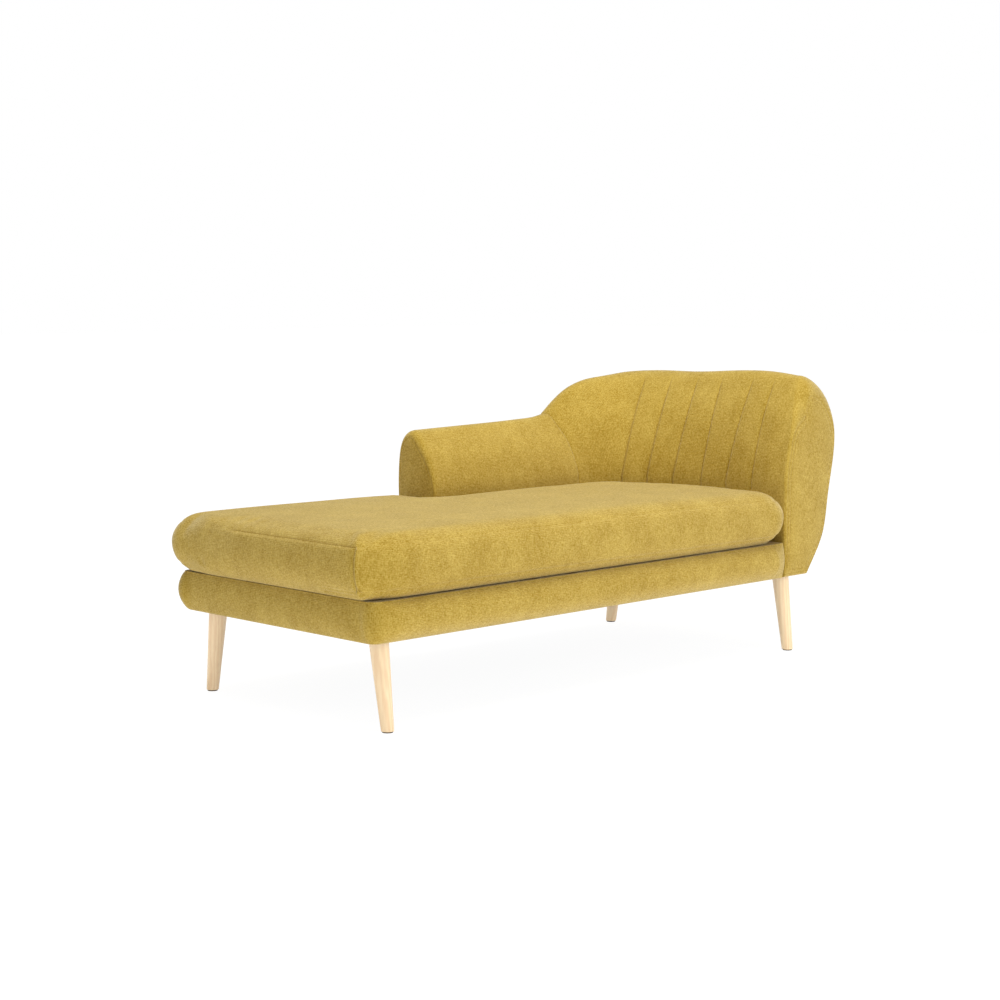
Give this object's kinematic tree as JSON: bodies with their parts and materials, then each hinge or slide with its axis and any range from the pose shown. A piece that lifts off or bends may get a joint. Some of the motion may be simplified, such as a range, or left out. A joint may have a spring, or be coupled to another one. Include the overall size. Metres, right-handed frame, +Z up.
{
  "type": "chaise longue",
  "caption": "Upholstered chaise longue with a rear arm that runs into a curved channelled back, a loose thick seat cushion and splayed turned wooden legs.",
  "frame": {"origin": "on the floor, under the middle of the overall length and width", "axes": "+X from the foot end to the back, +Y from the open front side to the arm, +Z up"},
  "size_m": [1.678, 0.746, 0.727],
  "materials": {
    "beech": "pale beech, clear satin lacquer",
    "pine": "sawn pine",
    "fibreboard": "hardboard",
    "cover_cloth": "mustard chenille",
    "foam": "upholstery foam",
    "wadding": "polyester fibre",
    "deck_cloth": "plain lining cloth",
    "felt": "grey needled felt",
    "dust_cloth": "black spunbonded cloth",
    "spring_steel": "drawn wire",
    "plated_steel": "zinc plated",
    "clip_plastic": "moulded",
    "glide_plastic": "moulded",
    "zip_cloth": "woven tape with coil",
    "zip_metal": "painted"
  },
  "bodies": {
    "frame": {"arm_cover": "cover_cloth", "arm_end_cover": "cover_cloth", "arm_foam": "foam", "arm_inner_panel": "fibreboard", "arm_outer_panel": "fibreboard", "arm_post_foot": "pine", "arm_post_head": "pine", "arm_screws": "plated_steel", "arm_sill": "pine", "arm_top_rail": "pine", "back_end_cover": "cover_cloth", "back_foam": "foam", "back_inside_cover": "cover_cloth", "back_outside_cover": "cover_cloth", "back_panel": "fibreboard", "back_post_arm": "pine", "back_post_corner": "pine", "back_post_front": "pine", "back_post_middle": "pine", "back_screws": "plated_steel", "back_sill": "pine", "back_top_rail": "pine", "base_cover_foot": "cover_cloth", "base_cover_front": "cover_cloth", "base_cover_rear": "cover_cloth", "base_padding_foot": "foam", "base_padding_front": "foam", "base_padding_rear": "foam", "cross_rail_foot": "pine", "cross_rail_head": "pine", "deck_cloth": "deck_cloth", "deck_foam": "foam", "dust_cover": "dust_cloth", "foot_rail": "pine", "frame_screws": "plated_steel", "front_rail": "pine", "head_rail": "pine", "leg_block_foot_front": "pine", "leg_block_foot_rear": "pine", "leg_block_head_front": "pine", "leg_block_head_rear": "pine", "leg_bolts": "plated_steel", "leg_foot_front": "beech", "leg_foot_rear": "beech", "leg_glides": "glide_plastic", "leg_head_front": "beech", "leg_head_rear": "beech", "leg_tee_nuts": "plated_steel", "rear_rail": "pine", "seat_springs": "spring_steel", "spring_clips": "clip_plastic", "spring_insulator": "felt"},
    "cushion": {"cushion_cover": "cover_cloth", "cushion_wadding": "wadding", "cushion_foam": "foam", "zip_tape": "zip_cloth"},
    "zip_slider": {"zip_slider": "zip_metal"}
  },
  "joints": [
    {"name": "cushion_lift", "type": "slide", "parent": "frame", "child": "cushion", "axis": [0, 0, 1], "range_m": [0, 0.35]},
    {"name": "zip_slide", "type": "slide", "parent": "cushion", "child": "zip_slider", "axis": [1, 0, 0], "range_m": [-0.47, 0]}
  ]
}
